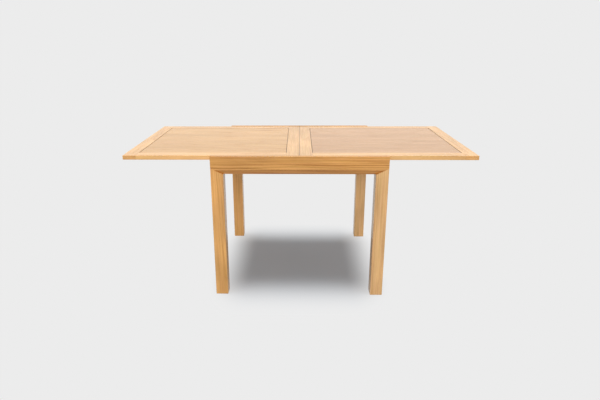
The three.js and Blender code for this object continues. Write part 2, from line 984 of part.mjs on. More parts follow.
function buildBase() {
  const base = new THREE.Group();
  for (const side of sides) {
    for (const end of ends) {
      const corner = `${end.name}_${side.name}`;
      const at = [side.sign, end.sign];
      base.add(
        meshOf(`leg_${corner}`, leg(...at), legOak),
        meshOf(`foot_glide_${corner}`, footGlide(...at), glideNylon),
        meshOf(`corner_block_${corner}`, cornerBlock(...at), innerBeech),
        meshOf(`leg_bolt_${corner}`, legBolt(...at), zincSteel),
      );
    }
    base.add(
      meshOf(`apron_${side.name}`, endApron(side.sign), apronOak),
      meshOf(`felt_strip_${side.name}`, feltStrip(side.sign), brownFelt),
    );
  }
  for (const end of ends) {
    base.add(
      meshOf(`apron_${end.name}`, longApron(end.sign), apronOak),
      meshOf(`slide_rail_${end.name}`, slideRail(end.sign), innerBeech),
    );
    slideRailScrewPlaces(end.sign).forEach((place, i) => {
      const screw = woodScrew(slideRailScrewLength, ...place);
      base.add(meshOf(`slide_rail_screw_${end.name}_${i + 1}`, screw, zincSteel));
    });
  }
  return base;
}

function buildLeaf(name, side) {
  const leaf = new THREE.Group();
  leaf.add(
    meshOf(`${name}_leaf_outer_stile`, stile(side, false), topOak),
    meshOf(`${name}_leaf_inner_stile`, stile(side, true), topOak),
    meshOf(`${name}_leaf_panel`, panel(side), panelOak),
  );
  for (const end of ends) {
    leaf.add(
      meshOf(`${name}_leaf_${end.name}_rail`, leafRail(side, end.sign), topOak),
      meshOf(`hinge_strap_${end.name}_${name}`, hingeStrap(side, end.sign), brass),
    );
  }
  return leaf;
}

function buildRunners() {
  const runners = new THREE.Group();
  for (const end of ends) {
    runners.add(meshOf(`runner_${end.name}`, runner(end.sign), innerBeech));
    runnerScrewPlaces(end.sign).forEach((place, i) => {
      const screw = woodScrew(runnerScrewLength, ...place);
      runners.add(meshOf(`runner_screw_${end.name}_${i + 1}`, screw, zincSteel));
    });
  }
  return runners;
}

function buildHingePins() {
  const pins = new THREE.Group();
  for (const end of ends) {
    pins.add(meshOf(`hinge_pin_${end.name}`, hingePin(end.sign, 0), brass));
  }
  return pins;
}

const table = new THREE.Group();
const slidingLeaf = buildLeaf('sliding', -1);
slidingLeaf.add(buildRunners(), buildHingePins());
table.add(buildBase(), slidingLeaf, buildLeaf('folding', 1));

export default table;
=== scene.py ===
"""Looks of the fold-over extending table: its timber, metal, felt and nylon, and a plain stage.

The CAD model gives every board its shape. Here each board gets the figure of its own cut, and the
turned and threaded pieces are modelled again with the detail that the CAD model leaves out.
"""

import math

import bmesh
import bpy
from bmesh.types import BMEdge, BMFace, BMVert
from bpy.props import FloatProperty, FloatVectorProperty, PointerProperty
from mathutils import Euler, Matrix, Vector, noise


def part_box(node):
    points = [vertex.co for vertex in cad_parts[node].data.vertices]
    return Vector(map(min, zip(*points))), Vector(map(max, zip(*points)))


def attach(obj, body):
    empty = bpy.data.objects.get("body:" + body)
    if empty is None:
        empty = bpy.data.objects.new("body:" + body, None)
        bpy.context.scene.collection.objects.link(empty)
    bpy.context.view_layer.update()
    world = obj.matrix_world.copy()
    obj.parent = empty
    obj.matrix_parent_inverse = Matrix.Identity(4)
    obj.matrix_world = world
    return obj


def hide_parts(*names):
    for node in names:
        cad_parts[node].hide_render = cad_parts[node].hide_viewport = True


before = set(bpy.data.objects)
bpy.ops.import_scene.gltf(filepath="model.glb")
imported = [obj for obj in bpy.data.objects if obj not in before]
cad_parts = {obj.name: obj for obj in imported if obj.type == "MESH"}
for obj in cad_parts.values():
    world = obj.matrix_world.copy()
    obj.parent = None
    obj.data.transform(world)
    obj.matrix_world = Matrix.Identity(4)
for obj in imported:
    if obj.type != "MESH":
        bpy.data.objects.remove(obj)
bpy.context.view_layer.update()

bl_info = {
    "name": "Fold-over Extending Table",
    "version": (1, 0, 0),
    "blender": (4, 5, 0),
    "location": "3D View > Sidebar > Table",
    "description": "Dresses the timber, fittings and stage of a fold-over extending table",
    "category": "Object",
}

MM = 0.001
# Points of a new shape closer than this are one point.
SAME_PLACE = 1e-7
SIDES = {"left": -1, "right": 1}
ENDS = {"front": -1, "rear": 1}
CORNERS = [f"{end}_{side}" for end in ENDS for side in SIDES]
WHITE = (1, 1, 1, 1)


# ---- Colours and nodes ----


def linear(hex_colour):
    """An sRGB hex colour as linear red, green and blue."""
    levels = [int(hex_colour[start : start + 2], 16) / 255 for start in (1, 3, 5)]
    return tuple(
        level / 12.92 if level <= 0.04045 else ((level + 0.055) / 1.055) ** 2.4
        for level in levels
    )


def shaded(colour, *factors):
    """A colour made lighter or darker by one factor, or by one for each channel, with its alpha."""
    if len(factors) == 1:
        factors = factors * 3
    return (*(min(1.0, channel * factor) for channel, factor in zip(colour, factors)), 1)


def add(tree, kind, inputs=None, socket=0, stops=None, **fields):
    """Adds a shader node with its settings and links, and returns one of its outputs."""
    node = tree.nodes.new("ShaderNode" + kind)
    for field, value in fields.items():
        setattr(node, field, value)
    for place, value in (inputs or {}).items():
        if isinstance(value, bpy.types.NodeSocket):
            tree.links.new(value, node.inputs[place])
        else:
            node.inputs[place].default_value = value
    if stops:
        ramp = node.color_ramp.elements
        while len(ramp) < len(stops):
            ramp.new(0.5)
        for element, (position, level) in zip(ramp, stops):
            element.position = position
            element.color = (level, level, level, 1)
    return node.outputs[socket] if len(node.outputs) else None


def new_material(name):
    """A material with an empty node tree, which is also returned."""
    material = bpy.data.materials.new(name)
    material.use_nodes = True
    material.node_tree.nodes.clear()
    return material, material.node_tree


def finished(material, surface, height, strength, depth, sunk=False):
    """Closes a material with its surface and its relief, which is as deep as given (mm), stands
    out or is sunk, and is drawn with a strength.
    """
    tree = material.node_tree
    relief = {"Height": height, "Strength": strength, "Distance": depth * MM}
    surface["Normal"] = add(tree, "Bump", relief, invert=sunk)
    add(tree, "OutputMaterial", {"Surface": add(tree, "BsdfPrincipled", surface)})
    return material


def in_millimetres(tree, origin=(0, 0, 0), turn=(0, 0, 0)):
    """A piece's own coordinates in millimetres, counted from an origin and turned."""
    place = {
        "Vector": add(tree, "TexCoord", socket="Object"),
        "Location": origin,
        "Rotation": turn,
        "Scale": (MM, MM, MM),
    }
    return add(tree, "Mapping", place, vector_type="TEXTURE")


def dress(node_name, material):
    """Gives a CAD node its material, and leaves its mesh alone."""
    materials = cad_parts[node_name].data.materials
    materials.clear()
    materials.append(material)


# ---- Timber ----

# Turns the length of the tree, Z in a pattern's own coordinates, to the length of the board.
GRAIN_TURN = {
    "X": Euler((0, math.pi / 2, 0)),
    "Y": Euler((-math.pi / 2, 0, 0)),
    "Z": Euler((0, 0, 0)),
}
GRAIN_AXIS = {"X": (1, 0, 0), "Y": (0, 1, 0), "Z": (0, 0, 1)}

# How each board was cut from its tree: which way its grain runs, where the heart of the tree lies
# from the middle of the board (mm), how far the grain runs off the board about X, Y and Z
# (degrees), which draws the arched figure of a flat-sawn face, and how much lighter the board is
# than the others of its colour.
CUTS = {
    "leg_front_left": ("Z", (66, 70, 0), (0.6, -0.8, 0), 1.0),
    "leg_front_right": ("Z", (-84, 52, 300), (-0.5, 0.9, 0), 1.0),
    # The rear legs are painted lighter, as painted light, because the lamps reach them less than
    # the front legs.
    "leg_rear_left": ("Z", (66, -58, 700), (0.6, 0.7, 0), 1.17),
    "leg_rear_right": ("Z", (-60, -66, 1100), (0.7, 0.5, 0), 1.2),
    "apron_front": ("X", (0, 88, -58), (0, 0.5, 0.6), 1.02),
    "apron_rear": ("X", (300, -90, 52), (0, -0.6, 0.5), 1.0),
    "apron_left": ("Y", (88, 400, 46), (0.5, 0, 0.6), 1.0),
    "apron_right": ("Y", (-84, 1300, -50), (-0.6, 0, 0.5), 1.0),
    "sliding_leaf_outer_stile": ("Y", (24, 200, -76), (0.8, 0, 0.4), 1.06),
    "sliding_leaf_inner_stile": ("Y", (-18, 900, -84), (-0.7, 0, 0.5), 0.96),
    "sliding_leaf_front_rail": ("X", (820, 30, -104), (0, 0.9, 0.5), 1.04),
    "sliding_leaf_rear_rail": ("X", (1500, -20, -80), (0, -1.1, 0.4), 1.0),
    "sliding_leaf_panel": ("X", (0, 0, -74), (0, 0, 0), 1.05),
    "folding_leaf_outer_stile": ("Y", (-26, 1700, -80), (-0.9, 0, 0.4), 1.04),
    "folding_leaf_inner_stile": ("Y", (12, 2600, -88), (0.8, 0, 0.4), 0.95),
    "folding_leaf_front_rail": ("X", (2600, -26, -98), (0, -1.0, 0.5), 1.04),
    "folding_leaf_rear_rail": ("X", (3600, 22, -78), (0, 1.2, 0.3), 1.0),
    "folding_leaf_panel": ("X", (4300, 0, -70), (0, 0, 0), 1.05),
}


def in_the_tree(tree, node_name, grain, heart, runout=(0, 0, 0)):
    """Coordinates of a board inside its tree, in millimetres: the heart at 0, the grain along Z."""
    low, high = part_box(node_name)
    tilt = Euler([math.radians(angle) for angle in runout]).to_matrix()
    turn = (GRAIN_TURN[grain].to_matrix() @ tilt).to_euler()
    return in_millimetres(tree, (low + high) / 2 + Vector(heart) * MM, turn)


def grain_noise(tree, place, width, length, detail, socket=0, **more):
    """Noise in streaks along the grain, of one width and one length in millimetres."""
    size = (1 / width, 1 / width, 1 / length)
    scaled = add(tree, "VectorMath", {0: place, 1: size}, operation="MULTIPLY")
    return add(
        tree, "TexNoise", {"Vector": scaled, "Scale": 1.0, "Detail": detail, **more}, socket=socket
    )


def wandering(tree, place, width, length, reach):
    """The coordinates of a tree that didn't grow round: they wander across the grain by half a
    reach to either side, over a width and a length in millimetres.
    """
    drift = grain_noise(tree, place, width, length, 2.0, socket="Color")
    off = {0: drift, 1: (reach, reach, 0), 2: place}
    return add(tree, "VectorMath", off, operation="MULTIPLY_ADD")


def glued_staves(tree, place, width):
    """Splits a panel into glued staves, each from another part of a tree, and gives them a tone."""
    across = add(tree, "SeparateXYZ", {0: place}, socket="Y")
    count = add(tree, "Math", {0: across, 1: width}, operation="DIVIDE")
    cells = {"W": count, "Scale": 1.0, "Randomness": 0.45}
    pick = add(tree, "TexVoronoi", cells, socket="Color", voronoi_dimensions="1D")
    centre = add(tree, "TexVoronoi", cells, socket="W", voronoi_dimensions="1D")
    from_centre = add(tree, "Math", {0: count, 1: centre}, operation="SUBTRACT")
    sideways = add(tree, "Math", {0: from_centre, 1: width}, operation="MULTIPLY")
    along_grain = add(tree, "SeparateXYZ", {0: place}, socket="Z")
    up = add(tree, "SeparateXYZ", {0: place}, socket="X")
    # A stave's heart lies up to 30 mm to one side and up to 22 mm higher or lower, and its grain
    # runs off by up to 1.5 degrees, a slope of 0.026.
    tone = add(tree, "SeparateColor", {0: pick})
    slope = add(tree, "MapRange", {"Value": tone, "To Min": -0.026, "To Max": 0.026})
    lean = add(tree, "Math", {0: along_grain, 1: slope, 2: up}, operation="MULTIPLY_ADD")
    own = add(tree, "CombineXYZ", {"X": lean, "Y": sideways, "Z": along_grain})
    moved = add(tree, "VectorMath", {0: pick, 1: (44, 60, 2600), 2: own}, operation="MULTIPLY_ADD")
    return add(tree, "VectorMath", {0: moved, 1: (22, 30, 0)}, operation="SUBTRACT"), tone


def year_rings(tree, place, width):
    """Year rings about the heart, of an average width. Gives the distance from the heart, how
    early in its year the timber grew, and the line that each ring draws.
    """
    across = add(tree, "VectorMath", {0: place, 1: (1, 1, 0)}, operation="MULTIPLY")
    radius = add(tree, "VectorMath", {0: across}, socket="Value", operation="LENGTH")
    # Good and bad years come in runs of about 20 mm, and put a ring up to 5 rings off its place.
    run = {"W": radius, "Scale": 1 / 20, "Detail": 0.0}
    years = add(tree, "TexNoise", run, noise_dimensions="1D")
    even = add(tree, "Math", {0: radius, 1: width}, operation="DIVIDE")
    rings = add(tree, "Math", {0: years, 1: 5.0, 2: even}, operation="MULTIPLY_ADD")
    part = add(tree, "Math", {0: rings}, operation="FRACT")
    # A ring starts open and dark, and closes to dense, pale late timber.
    closing = [(0.0, 1.0), (0.12, 0.85), (0.34, 0.22), (0.6, 0.05), (0.92, 0.0), (1.0, 1.0)]
    early = add(tree, "ValToRGB", {0: part}, stops=closing)
    year = add(tree, "Math", {0: rings}, operation="FLOOR")
    vigour = add(tree, "TexWhiteNoise", {"W": year}, noise_dimensions="1D")
    weight = add(tree, "MapRange", {"Value": vigour, "To Min": 0.2, "To Max": 1.0})
    line = add(tree, "Math", {0: early, 1: weight}, operation="MULTIPLY")
    return radius, early, line


def open_pores(tree, place, early):
    """Pores, most of them in early timber. They are 0.3 mm wide and 10 mm long, and drawn 0.7 mm
    wide and 22 mm long so that they show.
    """
    speck = grain_noise(tree, place, 0.7, 22, 1.0)
    pore = add(tree, "MapRange", {"Value": speck, "From Min": 0.53, "From Max": 0.62})
    share = add(tree, "MapRange", {"Value": early, "To Min": 0.25, "To Max": 1.0})
    return add(tree, "Math", {0: pore, 1: share}, operation="MULTIPLY")


def rays(tree, place, radius):
    """Rays, which run outwards from the heart: flecks on a quarter-sawn face and ticks on others.
    They are 40 mm deep, 18 mm tall and 0.4 mm thick, and drawn 1.2 mm thick so that they show.
    """
    x, y, z = (add(tree, "SeparateXYZ", {0: place}, socket=axis) for axis in "XYZ")
    angle = add(tree, "Math", {0: y, 1: x}, operation="ARCTAN2")
    fan = add(tree, "CombineXYZ", {"X": angle, "Y": radius, "Z": z})
    # Turned to a thickness at the faces of the boards, some 80 mm from the heart.
    size = (80 / 1.2, 1 / 40, 1 / 18)
    rays_at = add(tree, "VectorMath", {0: fan, 1: size}, operation="MULTIPLY")
    cells = add(tree, "TexNoise", {"Vector": rays_at, "Scale": 1.0, "Detail": 0.0})
    return add(tree, "MapRange", {"Value": cells, "From Min": 0.64, "From Max": 0.74})


def end_tint_and_painted_face_shade(tree, node_name, grain):
    """Sawn ends drink more lacquer than planed faces and turn browner. Faces are also painted by
    the way they look, as painted shade and light: a leaf's narrow edges a little browner, an
    apron's bevel and lower edge darker and browner, and an apron's upper edge paler, a painted
    highlight.
    """
    facing = add(tree, "TexCoord", socket="Normal")
    up = add(tree, "SeparateXYZ", {0: facing}, socket="Z")
    # Which way the faces look, from where their tint begins to where it is full, and the tint.
    faces = []
    if "_leaf_" in node_name:
        level = add(tree, "Math", {0: up}, operation="ABSOLUTE")
        # Painted shade: a leaf's narrow edges are painted a little browner than its faces that look
        # up or down.
        faces = [(level, 0.7, 0.3, (0.93, 0.88, 0.77, 1))]
    elif node_name.startswith("apron_"):
        # Painted shade on an apron's faces that look down, and a painted highlight on those that
        # look up.
        faces = [(up, -0.3, -0.5, (0.87, 0.73, 0.58, 1)), (up, 0.7, 0.9, (1.08, 1.1, 1.15, 1))]
    axis = {0: facing, 1: GRAIN_AXIS[grain]}
    lengthwise = add(tree, "VectorMath", axis, socket="Value", operation="DOT_PRODUCT")
    endwise = add(tree, "Math", {0: lengthwise}, operation="ABSOLUTE")
    faces.append((endwise, 0.75, 0.95, (0.86, 0.76, 0.6, 1)))
    tint = WHITE
    for way, begins, full, colour in faces:
        share = add(tree, "MapRange", {"Value": way, "From Min": begins, "From Max": full})
        tint = add(tree, "Mix", {0: share, 6: tint, 7: colour}, socket=2, data_type="RGBA")
    return tint


def painted_seam_and_groove_shade(tree, node_name):
    """Painted shade in lines across a leaf, each as a factor: in the grooves at both ends of a
    panel, and in the seam between the leaves, which lies at 0.
    """
    leaf, _, part = node_name.partition("_leaf_")
    # The X of each line, how far it reaches and how dark it is.
    lines = []
    if part == "inner_stile":
        lines = [(0.0, 1.4 * MM, 0.3)]
    elif part == "panel":
        low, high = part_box(node_name)
        middle = (low.x + high.x) / 2
        for stile in ("outer_stile", "inner_stile"):
            edges = [corner.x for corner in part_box(f"{leaf}_leaf_{stile}")]
            lines.append((min(edges, key=lambda x: abs(x - middle)), 5 * MM, 0.6))
    factors = []
    for line, reach, darkest in lines:
        place = add(tree, "TexCoord", socket="Object")
        across = add(tree, "SeparateXYZ", {0: place}, socket="X")
        apart = add(tree, "Math", {0: across, 1: line}, operation="SUBTRACT")
        apart = add(tree, "Math", {0: apart}, operation="ABSOLUTE")
        fading = {"Value": apart, "From Min": 0.7 * reach, "From Max": reach, "To Min": darkest}
        factors.append(add(tree, "MapRange", fading))
    return factors


def oak(node_name, colour, ring_width, figure=1.0, patches=1.0, stave_width=None):
    """Oak board, sawn, planed and sprayed with satin lacquer. The year rings show as arches on a
    flat-sawn face and as close lines on an edge, each ring starting with a row of open pores, and
    the lacquer lies over them as an even, soft sheen that the pores dimple. Figure and patches say
    how strongly the grain and the tone of this board vary.
    """
    material, tree = new_material(f"lacquered_oak_{node_name}")
    grain, heart, runout, shade = CUTS[node_name]
    colour = shaded(colour, shade)
    place = in_the_tree(tree, node_name, grain, heart, runout)
    # Painted shade along the seam and the panel's grooves, then the tones of the staves and
    # patches.
    tones_and_painted_shade = painted_seam_and_groove_shade(tree, node_name)
    if stave_width:
        place, stave_tone = glued_staves(tree, place, stave_width)
        tones_and_painted_shade.append(add(tree, "MapRange", {"Value": stave_tone, "To Min": 0.95, "To Max": 1.05}))

    # A ring wanders by 8 mm over 70 mm across the tree and 600 mm along it.
    wandered = wandering(tree, place, 70, 600, 16)
    radius, early, ring_line = year_rings(tree, wandered, ring_width)
    pore = open_pores(tree, place, early)
    ray = rays(tree, wandered, radius)
    # Streaks from 6 mm down to 1 mm wide, and some fifty times as long. They differ in depth and,
    # on their own, in hue.
    streaks = grain_noise(tree, place, 6, 300, 3.0, socket="Color", Roughness=0.55)
    streak = add(tree, "SeparateColor", {0: streaks}, socket="Red")
    hue_streak = add(tree, "SeparateColor", {0: streaks}, socket="Green")
    # Patches of another tone, some 60 mm across and 240 mm long.
    patch = grain_noise(tree, place, 60, 240, 1.0)
    patch_tone = {"Value": patch, "To Min": 1 - 0.3 * patches, "To Max": 1 + 0.28 * patches}
    tones_and_painted_shade.append(add(tree, "MapRange", patch_tone))

    # Depth of colour: streaks, rings, pores and rays together.
    pale_streak, dark_streak = -0.3 * figure, 0.5 * figure
    streaking = {"From Min": 0.25, "From Max": 0.75, "To Min": pale_streak, "To Max": dark_streak}
    depth = add(tree, "MapRange", {"Value": streak, **streaking})
    for mark, weight in ((ring_line, 0.5 * figure), (pore, 0.45), (ray, -0.12)):
        depth = add(tree, "Math", {0: mark, 1: weight, 2: depth}, operation="MULTIPLY_ADD")
    pale, dark = shaded(colour, 1.04), shaded(colour, 0.62, 0.5, 0.34)
    wood = add(tree, "Mix", {0: depth, 6: pale, 7: dark}, socket=2, data_type="RGBA")
    # Pinkish and yellowish streaks lie side by side.
    pinkish, yellowish = (1.03, 0.98, 1.06, 1), (0.98, 1.01, 0.91, 1)
    hue = add(tree, "MapRange", {"Value": hue_streak, "From Min": 0.3, "From Max": 0.7})
    tint = add(tree, "Mix", {0: hue, 6: pinkish, 7: yellowish}, socket=2, data_type="RGBA")
    # Hue streaks, then browner sawn ends with painted shade and highlight by which way a face
    # looks.
    for colouring in (tint, end_tint_and_painted_face_shade(tree, node_name, grain)):
        wood = add(tree, "VectorMath", {0: wood, 1: colouring}, operation="MULTIPLY")
    for tone in tones_and_painted_shade:
        wood = add(tree, "VectorMath", {0: wood, "Scale": tone}, operation="SCALE")

    # Satin lacquer levels at 0.24 and is duller over the pores, which dimple it by 0.08 mm.
    dull = add(tree, "MapRange", {"Value": pore, "To Min": 0.24, "To Max": 0.5})
    dimples = add(tree, "Math", {0: pore, 1: ring_line}, operation="ADD")
    surface = {"Base Color": wood, "Roughness": dull, "IOR": 1.5}
    return finished(material, surface, dimples, 0.35, 0.08, sunk=True)


def beech(node_name, colour, grain):
    """Steamed beech, planed and left bare. It is even and pinkish, with faint rings and short
    brown flecks along the grain, and it has no sheen.
    """
    material, tree = new_material(f"planed_beech_{node_name}")
    place = in_the_tree(tree, node_name, grain, (30, 40, 50))
    # Rings 5 mm wide, wandering by 7 mm. The period of a wave texture is 0.314 at a scale of 1.
    rings = add(
        tree,
        "TexWave",
        {"Vector": wandering(tree, place, 60, 500, 14), "Scale": 0.314 / 5, "Distortion": 0.0},
        wave_type="RINGS",
        rings_direction="Z",
        wave_profile="SAW",
    )
    # Ray flecks are 0.5 mm wide and 3 mm long, drawn 0.9 mm by 6 mm so that they show.
    speck = grain_noise(tree, place, 0.9, 6, 0.0)
    fleck = add(tree, "MapRange", {"Value": speck, "From Min": 0.62, "From Max": 0.72})
    depth = add(tree, "Math", {0: rings, 1: 0.22}, operation="MULTIPLY")
    depth = add(tree, "Math", {0: fleck, 1: 0.4, 2: depth}, operation="MULTIPLY_ADD")
    pale, dark = shaded(colour, 1.05), shaded(colour, 0.6, 0.5, 0.42)
    wood = add(tree, "Mix", {0: depth, 6: pale, 7: dark}, socket=2, data_type="RGBA")
    surface = {"Base Color": wood, "Roughness": 0.68, "IOR": 1.5}
    return finished(material, surface, speck, 0.2, 0.05)


# ---- Metal, felt and nylon ----


def aged_brass(name, colour):
    """Brass strip, rolled, milled and left to age. It has a brown film in patches and fine
    scratches of handling, and shines softly between them.
    """
    material, tree = new_material(name)
    place = in_millimetres(tree)
    # Film in patches of 6 mm.
    film = add(tree, "TexNoise", {"Vector": place, "Scale": 1 / 6, "Detail": 4.0})
    aged = add(tree, "MapRange", {"Value": film, "From Min": 0.4, "From Max": 0.65})
    bright, brown = shaded(colour, 1), shaded(colour, 0.5)
    metal = add(tree, "Mix", {0: aged, 6: bright, 7: brown}, socket=2, data_type="RGBA")
    # Scratches are 0.05 mm wide, drawn 0.25 mm wide and 8 mm long so that they show.
    size = (1 / 8, 1 / 0.25, 1 / 0.25)
    lengthwise = add(tree, "VectorMath", {0: place, 1: size}, operation="MULTIPLY")
    scratch = add(tree, "TexNoise", {"Vector": lengthwise, "Scale": 1.0, "Detail": 2.0})
    gloss = {"From Min": 0.3, "From Max": 0.7, "To Min": 0.26, "To Max": 0.48}
    rough = add(tree, "MapRange", {"Value": scratch, **gloss})
    surface = {"Base Color": metal, "Metallic": 1.0, "Roughness": rough}
    return finished(material, surface, scratch, 0.15, 0.02)


def zinc_plated_steel(name, colour):
    """Steel, cold formed and bright zinc plated. It is a cool grey with a faint yellow and blue
    bloom, a little uneven, and dulled by handling.
    """
    material, tree = new_material(name)
    place = in_millimetres(tree)
    # Bloom in patches of 5 mm, and a crystal grain of 0.6 mm.
    bloom = add(tree, "TexNoise", {"Vector": place, "Scale": 1 / 5, "Detail": 3.0})
    crystal = add(tree, "TexVoronoi", {"Vector": place, "Scale": 1 / 0.6})
    yellow, blue = shaded(colour, 1, 0.98, 0.86), shaded(colour, 0.86, 0.92, 1)
    plating = add(tree, "Mix", {0: bloom, 6: yellow, 7: blue}, socket=2, data_type="RGBA")
    rough = add(tree, "MapRange", {"Value": bloom, "To Min": 0.24, "To Max": 0.5})
    surface = {"Base Color": plating, "Metallic": 1.0, "Roughness": rough}
    return finished(material, surface, crystal, 0.1, 0.02)


def wool_felt(name, colour):
    """Wool felt, pressed and cut into strips. Its fibres lie every way, so it is matt, mottled
    and a little fuzzy at the edges.
    """
    material, tree = new_material(name)
    place = in_millimetres(tree)
    # Fibres are 0.03 mm thick, drawn in tufts of 0.5 mm so that they show. They mottle over 7 mm.
    tufts = {"Vector": place, "Scale": 1 / 0.5, "Detail": 3.0, "Distortion": 1.5}
    tuft = add(tree, "TexNoise", tufts)
    mottle = add(tree, "TexNoise", {"Vector": place, "Scale": 1 / 7, "Detail": 2.0})
    depth = add(tree, "Math", {0: tuft, 1: mottle}, operation="ADD")
    shade = add(tree, "MapRange", {"Value": depth, "From Min": 0.7, "From Max": 1.3})
    dark, pale = shaded(colour, 0.7), shaded(colour, 1.3)
    cloth = add(tree, "Mix", {0: shade, 6: dark, 7: pale}, socket=2, data_type="RGBA")
    surface = {"Base Color": cloth, "Roughness": 0.95, "IOR": 1.45, "Sheen Weight": 0.35}
    return finished(material, surface, tuft, 0.7, 0.3)


def moulded_nylon(name, colour):
    """Nylon, injection moulded. It is milky and waxy, with a light spark-eroded texture and
    scuffs where it slides on the floor.
    """
    material, tree = new_material(name)
    place = in_millimetres(tree)
    # A texture of 0.5 mm, and scuffs in patches of 4 mm.
    texture = add(tree, "TexNoise", {"Vector": place, "Scale": 1 / 0.5, "Detail": 1.0})
    scuff = add(tree, "TexNoise", {"Vector": place, "Scale": 1 / 4, "Detail": 4.0})
    pale, worn = shaded(colour, 1.06), shaded(colour, 0.88)
    body = add(tree, "Mix", {0: scuff, 6: pale, 7: worn}, socket=2, data_type="RGBA")
    rough = add(tree, "MapRange", {"Value": scuff, "To Min": 0.36, "To Max": 0.6})
    surface = {"Base Color": body, "Roughness": rough, "IOR": 1.53}
    return finished(material, surface, texture, 0.2, 0.05)


# ---- Shapes of the new pieces ----


def only(kind, parts):
    """Those parts of a shape that are vertices, edges or faces."""
    return [part for part in parts if isinstance(part, kind)]


def spun(profile, steps, closed=False):
    """A bmesh turned about Z from a profile of (radius, height) points."""
    mesh = bmesh.new()
    points = [mesh.verts.new((radius, 0, height)) for radius, height in profile]
    pairs = list(zip(points, points[1:]))
    if closed:
        pairs.append((points[-1], points[0]))
    lines = [mesh.edges.new(pair) for pair in pairs]
    bmesh.ops.spin(
        mesh,
        geom=points + lines,
        cent=(0, 0, 0),
        axis=(0, 0, 1),
        angle=2 * math.pi,
        steps=steps,
        use_merge=True,
    )
    bmesh.ops.remove_doubles(mesh, verts=mesh.verts, dist=SAME_PLACE)
    bmesh.ops.recalc_face_normals(mesh, faces=mesh.faces)
    return mesh


def cut(mesh, point, normal, trim=True):
    """Cuts a shape along a plane. Trimming also takes off what lies beyond and closes the cut."""
    rim = bmesh.ops.bisect_plane(
        mesh,
        geom=mesh.verts[:] + mesh.edges[:] + mesh.faces[:],
        dist=SAME_PLACE,
        plane_co=point,
        plane_no=normal,
        clear_outer=trim,
    )["geom_cut"]
    if trim:
        bmesh.ops.holes_fill(mesh, edges=only(BMEdge, rim), sides=0)


def add_piece(name, mesh, place, body, material, replaced, smooth_under=35):
    """Makes an object of a bmesh moved to its place, riding on a body in place of a CAD node."""
    mesh.transform(place)
    data = bpy.data.meshes.new(name)
    mesh.to_mesh(data)
    data.materials.append(material)
    data.shade_smooth()
    data.set_sharp_from_angle(angle=math.radians(smooth_under))
    piece = bpy.data.objects.new(name, data)
    bpy.context.scene.collection.objects.link(piece)
    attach(piece, body)
    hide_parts(replaced)


def along(start, direction):
    """Matrix that stands a shape built up along Z at a start point, along a direction."""
    turn = Vector(direction).normalized().to_track_quat("Z", "Y")
    return Matrix.Translation(start) @ turn.to_matrix().to_4x4()


def threaded_rod(length, threaded, radius, pitch, chamfer):
    """A rod up Z with a helical thread over its upper part, a plain shank, and both ends
    chamfered.
    """
    steps = 20
    turns = math.ceil(threaded / pitch) + 2
    root = radius - 0.6 * pitch
    mesh = bmesh.new()
    flanks = ((root, 0), (root, 0.125), (radius, 0.44), (radius, 0.56), (root, 0.875), (root, 1))
    points = [mesh.verts.new((reach, 0, (height - 1) * pitch)) for reach, height in flanks]
    lines = [mesh.edges.new(pair) for pair in zip(points, points[1:])]
    bmesh.ops.spin(
        mesh,
        geom=points + lines,
        cent=(0, 0, 0),
        axis=(0, 0, 1),
        dvec=(0, 0, pitch / steps),
        angle=2 * math.pi * turns,
        steps=steps * turns,
        use_merge=False,
    )
    bmesh.ops.remove_doubles(mesh, verts=mesh.verts, dist=pitch / 1000)
    bmesh.ops.recalc_face_normals(mesh, faces=mesh.faces)
    cut(mesh, (0, 0, 0), (0, 0, -1))
    cut(mesh, (0, 0, threaded), (0, 0, 1))
    facets = 12
    for step in range(facets):
        turn = Matrix.Rotation(2 * math.pi * step / facets, 3, "Z")
        cut(mesh, turn @ Vector((radius, 0, threaded - chamfer)), turn @ Vector((1, 0, 1)))
    # The shank grows down from the last turn.
    end = min(mesh.faces, key=lambda face: face.calc_center_median().z)
    start = threaded - length
    for reach, height in ((radius, -pitch), (radius, start + chamfer), (radius - chamfer, start)):
        grown = bmesh.ops.extrude_face_region(mesh, geom=[end])["geom"]
        bmesh.ops.delete(mesh, geom=[end], context="FACES_ONLY")
        end = only(BMFace, grown)[0]
        for vert in end.verts:
            vert.co = (*(vert.co.xy.normalized() * reach), height)
    bmesh.ops.recalc_face_normals(mesh, faces=mesh.faces)
    bmesh.ops.translate(mesh, vec=(0, 0, -start), verts=mesh.verts)
    return mesh


def plain_washer(radius, thickness, hole_radius):
    """A pressed washer, rounder on the side that the punch met."""
    profile = [
        (hole_radius, 0),
        (radius - 0.2 * MM, 0),
        (radius, 0.3 * MM),
        (radius, thickness - 0.4 * MM),
        (radius - 0.4 * MM, thickness),
        (hole_radius, thickness),
    ]
    return spun(profile, 40, closed=True)


def hexagon_nut(across_flats, thickness, thread_radius):
    """A nut turned with its chamfers and countersinks, and then milled to six flats."""
    flat = across_flats / 2
    face = 0.95 * flat
    corner = flat / math.cos(math.pi / 6) + 0.1 * MM
    chamfer = (corner - face) * math.tan(math.radians(30))
    sink = 0.12 * flat
    profile = [
        (thread_radius - sink / 2, sink),
        (thread_radius + sink / 2, 0),
        (face, 0),
        (corner, chamfer),
        (corner, thickness - chamfer),
        (face, thickness),
        (thread_radius + sink / 2, thickness),
        (thread_radius - sink / 2, thickness - sink),
    ]
    mesh = spun(profile, 48, closed=True)
    for step in range(6):
        normal = Matrix.Rotation(step * math.pi / 3, 3, "Z") @ Vector((1, 0, 0))
        cut(mesh, normal * flat, normal)
    return mesh


